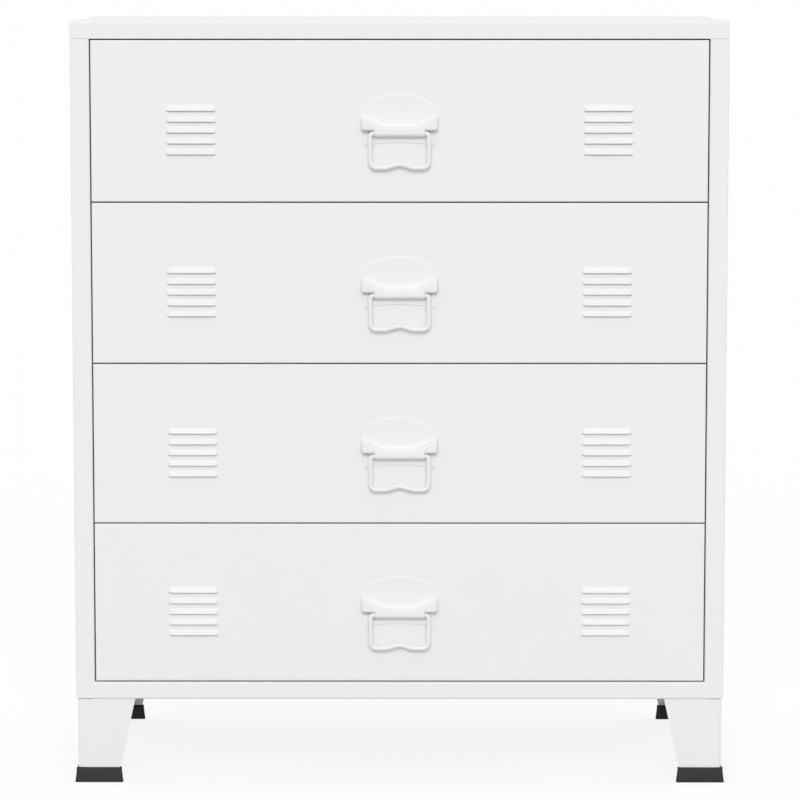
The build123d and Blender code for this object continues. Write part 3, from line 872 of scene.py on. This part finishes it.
def axle(web, near, far, place, side):
    """Rivet that carries a roller: a spacer on the web, a pin, and a domed head past the roller."""
    way = 1 if far > near else -1
    spacer = near - way * RUN_CLEARANCE
    head = far + way * RUN_CLEARANCE
    tip = head + way * AXLE_HEAD
    profile = [(web, AXLE_HEAD_RADIUS), (spacer, AXLE_HEAD_RADIUS), (spacer, AXLE_RADIUS)]
    profile += [(head, AXLE_RADIUS), (head, AXLE_HEAD_RADIUS)]
    for share in AXLE_DOME:
        profile.append((head + (tip - head) * share, AXLE_HEAD_RADIUS * math.sqrt(1 - share**2)))
    profile.append((tip, AXLE_TIP_RADIUS))
    body = moved(turned(profile), Matrix.Translation((0, *place)))
    return add_piece("axle", on_side(body, side), "runner_steel", closed=True)


def front_axle(side):
    """Axle of the roller at the front of a fixed rail."""
    near = ROLLER_MIDDLE + ROLLER_HALF
    far = ROLLER_MIDDLE - ROLLER_HALF
    return axle(RAIL_WEB - RAIL_SHEET, near, far, FRONT_AXLE, side)


def rear_axle(side):
    """Axle of the roller at the rear of a moving rail."""
    near = ROLLER_MIDDLE - ROLLER_HALF
    far = ROLLER_MIDDLE + ROLLER_HALF
    return axle(TRAY_HALF + RAIL_SHEET, near, far, REAR_AXLE, side)


def roller_pair():
    """Left and right rollers on one axis, each with rounded edges and a hollow round its hub."""
    half = ROLLER_HALF
    hollow = half - ROLLER_HOLLOW
    face = [(half, ROLLER_BORE), (half, ROLLER_HUB), (hollow, ROLLER_HUB + ROLLER_SLOPE)]
    face += [(hollow, ROLLER_TREAD - ROLLER_SLOPE), (half, ROLLER_TREAD)]
    rim = [(half - side, ROLLER_RADIUS - down) for down, side in quarter(ROLLER_EDGE)]
    right = face + rim
    profile = right + [(-x, radius) for x, radius in reversed(right)]
    roller = moved(turned(profile, looped=True), Matrix.Translation((ROLLER_MIDDLE, 0, 0)))
    return add_piece("roller_pair", joined([roller, mirrored(roller)]), "roller_nylon", closed=True)


# Body pieces


def plan_ring(box, inset, z):
    """The body's plan with small round corners, drawn in by a margin, at a height."""
    low, high = box
    x0, x1 = low.x + inset, high.x - inset
    y0, y1 = low.y + inset, high.y - inset
    corners = [(x0, y0), (x1, y0), (x1, y1), (x0, y1)]
    return [(x, y, z) for x, y in rounded_loop(corners, max(TOP_CORNER - inset, GUARD))]


def top_panel():
    """Cap with rounded upper edges and a skirt that is folded in over the panels below."""
    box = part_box("top_panel")
    low, high = box[0].z, box[1].z
    levels = [(TOP_LIP, low)]
    levels += [(inset, low + up) for inset, up in quarter(SKIRT_BEND)]
    levels += [(inset, high - down) for down, inset in quarter(TOP_BEND)]
    levels.append((TOP_BEND + GUARD, high))
    body = skin([plan_ring(box, inset, z) for inset, z in levels], (False, True))
    piece = add_piece("top_cap", body, "body_paint")
    thicken(piece, TOP_SHEET)
    fix_to_cabinet(piece, "top_panel")


def bottom_panel():
    """Floor with a front rail that closes flush against the stiles, and an upstand along the back."""
    low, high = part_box("bottom_panel")
    front, rear, floor = low.y, high.y, low.z
    reach = STILE_INNER + PANEL_BEND
    sill = [(front + SILL_RETURN, high.z), (front, high.z), (front, floor), (front + SILL_GROOVE, floor)]
    upstand = [(rear - SILL_GROOVE, floor), (rear, floor), (rear, floor + REAR_UPSTAND)]
    level = [(front + SILL_GROOVE, floor), (rear - SILL_GROOVE, floor)]
    body = joined([
        strip(rounded(sill, (PANEL_BEND, PANEL_BEND)), "x", -reach, reach),
        strip(level, "x", low.x, high.x),
        strip(rounded(upstand, (PANEL_BEND,)), "x", low.x, high.x),
    ])
    piece = add_piece("bottom_sheet", body, "body_paint")
    thicken(piece, PANEL_SHEET)
    fix_to_cabinet(piece, "bottom_panel")


def cap_outline():
    """Outline of a foot cap round the front left leg, from the leg's outer corner."""
    tip, outer, inner = CAP_REACH, CAP_OUTER, CAP_INNER
    corners = [(outer, outer), (outer, tip), (inner, tip), (inner, inner + CAP_FILL)]
    corners += [(y, x) for x, y in reversed(corners[1:])]
    return rounded_loop(corners, CAP_CORNER)


def foot_caps():
    """Flared plastic caps with rounded edges on the ends of the four legs."""
    outline = cap_outline()
    levels = quarter(CAP_EDGE)
    levels += [(inset, CAP_HEIGHT - down) for down, inset in quarter(CAP_EDGE)]
    rings = []
    for inset, z in levels:
        ring = inset_outline(outline, inset + CAP_FLARE * z / CAP_HEIGHT)
        rings.append([(x, y, z) for x, y in ring])
    front = moved(skin(rings), Matrix.Translation((LEFT + LEG_INSET, FRONT + LEG_INSET, 0)))
    turn = Matrix.Translation((0, FRONT + BACK, 0)) @ Matrix.Scale(-1, 4, (0, 1, 0))
    for end, body in (("front", front), ("rear", moved(front, turn))):
        for side in SIDES:
            shape = body if side == "left" else mirrored(body)
            piece = add_piece(f"cap_{end}_{side}", shape, "cap_plastic", closed=True)
            fix_to_cabinet(piece, f"foot_cap_{end}_{side}")


# Fasteners


def hex_radius(flats, angle):
    """Distance from the middle to the edge of a hexagon."""
    third = math.pi / 3
    return flats / 2 / math.cos(angle % third - third / 2)


def hex_head(flats, flange, height):
    """Flanged hexagon head that stands up from zero, with its corners turned off."""
    angles = [2 * math.pi * side / RING_SIDES for side in range(RING_SIDES)]
    flank = 2 * flats
    levels = [(0, flange, flange), (HEAD_RIM * height, flange, flange), (HEAD_NECK * height, 0, flank)]
    levels.append((height - HEAD_CHAMFER * height, 0, flank))
    levels += [(height, 0, flats / 2), (height, 0, HEAD_FACE * flats)]
    rings = []
    for z, least, most in levels:
        radii = [min(max(hex_radius(flats, a), least), most) for a in angles]
        rings.append([(r * math.cos(a), r * math.sin(a), z) for r, a in zip(radii, angles)])
    return skin(rings)


def shank(radius, low, high):
    """Round bar along Z with a chamfered end."""
    upright = Matrix.Rotation(-math.pi / 2, 4, "Y")
    tip = SHANK_TIP * radius
    return moved(turned([(low, radius), (high - tip, radius), (high, radius - tip)]), upright)


def leg_bolts():
    """Flanged bolts up through the leg flanges, with their nuts on the cabinet's floor."""
    over = Matrix.Rotation(math.pi, 4, "X")
    head = hex_head(BOLT_FLATS, BOLT_FLANGE, BOLT_HEAD)
    head = moved(head, Matrix.Translation((0, 0, BOLT_SEAT)) @ over)
    nut = hex_head(BOLT_FLATS, BOLT_FLANGE, BOLT_TOP - NUT_SEAT - SHANK_TIP * BOLT_RADIUS)
    nut = moved(nut, Matrix.Translation((0, 0, NUT_SEAT)))
    bolt = joined([head, shank(BOLT_RADIUS, BOLT_SEAT - BOLT_HEAD / 2, BOLT_TOP), nut])
    left = LEFT + LEG_INSET
    bolts = []
    for along, across in ((BOLT_ALONG, BOLT_ACROSS), (BOLT_ACROSS, BOLT_ALONG)):
        for y in (FRONT + LEG_INSET + across, BACK - LEG_INSET - across):
            placed = moved(bolt, Matrix.Translation((left + along, y, 0)))
            bolts += [placed, mirrored(placed)]
    piece = add_piece("leg_bolt_set", joined(bolts), "fastener_steel", closed=True)
    fix_to_cabinet(piece, "leg_bolts")


def panel_screws():
    """Flanged screws through the rear flanges into the back panel."""
    screw = joined([
        hex_head(SCREW_FLATS, SCREW_FLANGE, SCREW_HEAD),
        moved(shank(SCREW_RADIUS, 0, SCREW_GRIP), Matrix.Rotation(math.pi, 4, "X")),
    ])
    low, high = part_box("side_panel_left")
    first = low.z + SCREW_END
    step = (high.z - SCREW_END - first) / (SCREW_ROWS - 1)
    outward = Matrix.Rotation(-math.pi / 2, 4, "X")
    screws = []
    for row in range(SCREW_ROWS):
        place = Matrix.Translation((SCREW_PLACE, BACK, first + row * step))
        placed = moved(screw, place @ outward)
        screws += [placed, mirrored(placed)]
    piece = add_piece("panel_screw_set", joined(screws), "fastener_steel", closed=True)
    fix_to_cabinet(piece, "panel_screws")


# Pieces in place


def dress_body():
    """Top, bottom, foot caps and fasteners of the cabinet."""
    top_panel()
    bottom_panel()
    foot_caps()
    leg_bolts()
    panel_screws()


def dress_drawers():
    """Fronts, trays, handle plates, hoods and bails of the drawers."""
    pivots = {n: Vector(JOINTS[f"bail_{n}_swing"]["pos_m"]) for n in DRAWERS}
    handles = {n: Vector((0, FRONT, pivots[n].z)) for n in DRAWERS}
    for_each_drawer(drawer_front(), "drawer_front_sheet", BASES, "drawer_{}", "drawer_front_{}")
    for_each_drawer(drawer_tray(), "drawer_tray_sheet", BASES, "drawer_{}", "drawer_tray_{}")
    for_each_drawer(handle_plate(), "handle_plate_sheet", handles, "drawer_{}", "handle_plate_{}")
    for_each_drawer(handle_hood(), "handle_hood", handles, "drawer_{}")
    for_each_drawer(handle_bail(), "bail_wire", pivots, "bail_{}", "handle_bail_{}")


def dress_runners():
    """Rails, axles and rollers of the drawers' runners."""
    for side in SIDES:
        fixed = "cabinet_rail_" + side + "_{}"
        moving = "drawer_rail_" + side + "_{}"
        for_each_drawer(channel_rail(side), f"channel_{side}", BASES, "cabinet", fixed)
        for_each_drawer(front_axle(side), f"front_axle_{side}", BASES, "cabinet")
        for_each_drawer(slide_rail(side), f"slide_{side}", BASES, "drawer_{}", moving)
        for_each_drawer(rear_axle(side), f"rear_axle_{side}", BASES, "drawer_{}")
    for end, holder in (("front", "cabinet"), ("rear", "drawer")):
        axes = {n: Vector(JOINTS[f"{end}_rollers_{n}_turn"]["pos_m"]) for n in DRAWERS}
        body = end + "_rollers_{}"
        for_each_drawer(roller_pair(), f"{end}_rollers_tyre", axes, body, holder + "_rollers_{}")


# View and light


def white_to_the_eye(tree, seen, felt):
    """A shader that camera, mirror and glass rays see one way, and other light another way."""
    path = tree.nodes.new("ShaderNodeLightPath")
    either = tree.nodes.new("ShaderNodeMath")
    either.operation = "MAXIMUM"
    any_of = tree.nodes.new("ShaderNodeMath")
    any_of.operation = "MAXIMUM"
    mix = tree.nodes.new("ShaderNodeMixShader")
    tree.links.new(path.outputs["Is Camera Ray"], either.inputs[0])
    tree.links.new(path.outputs["Is Glossy Ray"], either.inputs[1])
    tree.links.new(either.outputs[0], any_of.inputs[0])
    tree.links.new(path.outputs["Is Transmission Ray"], any_of.inputs[1])
    tree.links.new(any_of.outputs[0], mix.inputs["Fac"])
    tree.links.new(felt, mix.inputs[1])
    tree.links.new(seen, mix.inputs[2])
    return mix.outputs["Shader"]


def light_world():
    """Even studio light all round, on a white background."""
    world = bpy.data.worlds.new("studio")
    world.use_nodes = True
    bpy.context.scene.world = world
    tree = world.node_tree
    white = add_node(tree, "ShaderNodeBackground", {"Color": (1, 1, 1, 1), "Strength": 1})
    soft = add_node(tree, "ShaderNodeBackground", {"Color": (1, 1, 1, 1), "Strength": AMBIENT})
    shown = white_to_the_eye(tree, white.outputs["Background"], soft.outputs["Background"])
    tree.links.new(shown, tree.nodes["World Output"].inputs["Surface"])


def add_floor():
    """White floor that keeps a faint shadow of the cabinet."""
    mesh = bpy.data.meshes.new("floor")
    half = FLOOR_HALF
    corners = [(-half, -half, 0), (half, -half, 0), (half, half, 0), (-half, half, 0)]
    mesh.from_pydata(corners, [], [(0, 1, 2, 3)])
    floor = bpy.data.objects.new("floor", mesh)
    bpy.context.scene.collection.objects.link(floor)
    made = new_material("floor")
    tree = made.node_tree
    shade = add_node(tree, "ShaderNodeBsdfDiffuse", {"Color": (FLOOR_SHADE,) * 3 + (1,)})
    glow = add_node(tree, "ShaderNodeEmission", {"Strength": 1 - FLOOR_SHADE})
    seen = tree.nodes.new("ShaderNodeAddShader")
    bounce = add_node(tree, "ShaderNodeBsdfDiffuse", {"Color": (FLOOR_BOUNCE,) * 3 + (1,)})
    tree.links.new(shade.outputs["BSDF"], seen.inputs[0])
    tree.links.new(glow.outputs["Emission"], seen.inputs[1])
    shown = white_to_the_eye(tree, seen.outputs["Shader"], bounce.outputs["BSDF"])
    tree.links.new(shown, tree.nodes["Material Output"].inputs["Surface"])
    mesh.materials.append(made)


def aim(thing, place, target):
    """Puts a lamp or camera at a place, looking at a target."""
    thing.location = place
    way = Vector(target) - Vector(place)
    thing.rotation_euler = way.to_track_quat("-Z", "Y").to_euler()
    bpy.context.scene.collection.objects.link(thing)


def add_lamps():
    """Large soft lamps far off. Only the front one shows in shiny faces."""
    for name, (turn, height, strength) in LAMPS.items():
        lamp = bpy.data.lights.new(name, "SUN")
        lamp.energy = strength
        lamp.angle = LAMP_SPREAD
        flat = math.cos(math.radians(height))
        way = (math.sin(math.radians(turn)) * flat, -math.cos(math.radians(turn)) * flat)
        holder = bpy.data.objects.new(name, lamp)
        holder.visible_glossy = name == "front"
        aim(holder, (*way, math.sin(math.radians(height))), (0, 0, 0))


def add_camera():
    """Camera at the photograph's viewing angle."""
    lens = bpy.data.cameras.new("view")
    lens.lens = CAMERA_LENS
    lens.clip_end = 2 * FLOOR_HALF
    camera = bpy.data.objects.new("view", lens)
    aim(camera, CAMERA_PLACE, CAMERA_AIM)
    bpy.context.scene.camera = camera


paint_cad_nodes()
dress_body()
dress_drawers()
dress_runners()
light_world()
add_floor()
add_lamps()
add_camera()
bpy.context.scene.view_settings.view_transform = "Standard"

bpy.context.view_layer.update()
